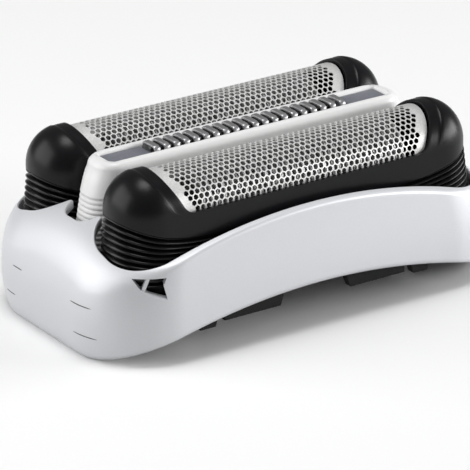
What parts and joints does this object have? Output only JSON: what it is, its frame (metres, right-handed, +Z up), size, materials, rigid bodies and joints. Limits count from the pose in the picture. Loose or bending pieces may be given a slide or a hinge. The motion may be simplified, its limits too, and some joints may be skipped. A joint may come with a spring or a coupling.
{
  "type": "shaver foil head",
  "caption": "Slip-on foil head for an electric shaver: a silver ring frame around sprung, domed foil cassettes on pleated black skirts, with a white centre trimmer bar between them.",
  "frame": {"origin": "centre of the ring's footprint, on the plane that its two end lands stand on", "axes": "+X along the foils, +Y towards the rear foil, +Z up out of the foils"},
  "size_m": [0.0626, 0.036, 0.0238],
  "materials": {
    "silver": "satin silver lacquer on plastic",
    "black": "moulded, fine grain",
    "gloss_black": "semi-gloss moulded",
    "black_rubber": "smooth, slightly glossy",
    "white": "semi-gloss moulded",
    "white_rubber": "satin",
    "grey": "moulded, bluish grey",
    "steel": "ground",
    "foil_steel": "electroformed, satin",
    "spring_steel": "drawn wire"
  },
  "bodies": {
    "frame": {"ring_frame": "silver", "chassis": "black", "keeper_plate": "black", "front_bellows": "black_rubber", "rear_bellows": "black_rubber", "trimmer_bellows": "white_rubber"},
    "front_foil_unit": {"front_foil_carrier": "gloss_black", "front_foil": "foil_steel"},
    "rear_foil_unit": {"rear_foil_carrier": "gloss_black", "rear_foil": "foil_steel"},
    "trimmer_unit": {"trimmer_holder": "white", "trimmer_comb": "steel", "left_trimmer_insert": "grey", "right_trimmer_insert": "grey"},
    "drive": {"drive_bridge": "black", "front_left_spring": "spring_steel", "front_right_spring": "spring_steel", "rear_left_spring": "spring_steel", "rear_right_spring": "spring_steel", "trimmer_left_spring": "spring_steel", "trimmer_right_spring": "spring_steel"},
    "front_cutter": {"front_cutter_carrier": "black", "front_cutter_blades": "steel"},
    "rear_cutter": {"rear_cutter_carrier": "black", "rear_cutter_blades": "steel"},
    "trimmer_cutter": {"trimmer_slider": "white", "trimmer_blade": "steel"}
  },
  "joints": [
    {"name": "front_foil_float", "type": "slide", "parent": "frame", "child": "front_foil_unit", "axis": [0, 0, -1], "range_m": [0, 0.002], "stiffness_N_per_m": 300, "springref_m": -0.001, "deforming": ["front_bellows", "front_left_spring", "front_right_spring"]},
    {"name": "rear_foil_float", "type": "slide", "parent": "frame", "child": "rear_foil_unit", "axis": [0, 0, -1], "range_m": [0, 0.002], "stiffness_N_per_m": 300, "springref_m": -0.001, "deforming": ["rear_bellows", "rear_left_spring", "rear_right_spring"]},
    {"name": "trimmer_float", "type": "slide", "parent": "frame", "child": "trimmer_unit", "axis": [0, 0, -1], "range_m": [0, 0.0015], "stiffness_N_per_m": 300, "springref_m": -0.001, "deforming": ["trimmer_bellows", "trimmer_left_spring", "trimmer_right_spring"]},
    {"name": "drive_stroke", "type": "slide", "parent": "frame", "child": "drive", "axis": [1, 0, 0], "range_m": [-0.0012, 0.0012]},
    {"name": "front_cutter_stroke", "type": "slide", "parent": "front_foil_unit", "child": "front_cutter", "axis": [1, 0, 0], "range_m": [-0.0012, 0.0012]},
    {"name": "rear_cutter_stroke", "type": "slide", "parent": "rear_foil_unit", "child": "rear_cutter", "axis": [1, 0, 0], "range_m": [-0.0012, 0.0012]},
    {"name": "trimmer_blade_stroke", "type": "slide", "parent": "trimmer_unit", "child": "trimmer_cutter", "axis": [1, 0, 0], "range_m": [-0.0012, 0.0012]}
  ],
  "couplings": [
    {"joint": "front_cutter_stroke", "follows": "drive_stroke", "ratio": 1},
    {"joint": "rear_cutter_stroke", "follows": "drive_stroke", "ratio": 1},
    {"joint": "trimmer_blade_stroke", "follows": "drive_stroke", "ratio": 1}
  ]
}
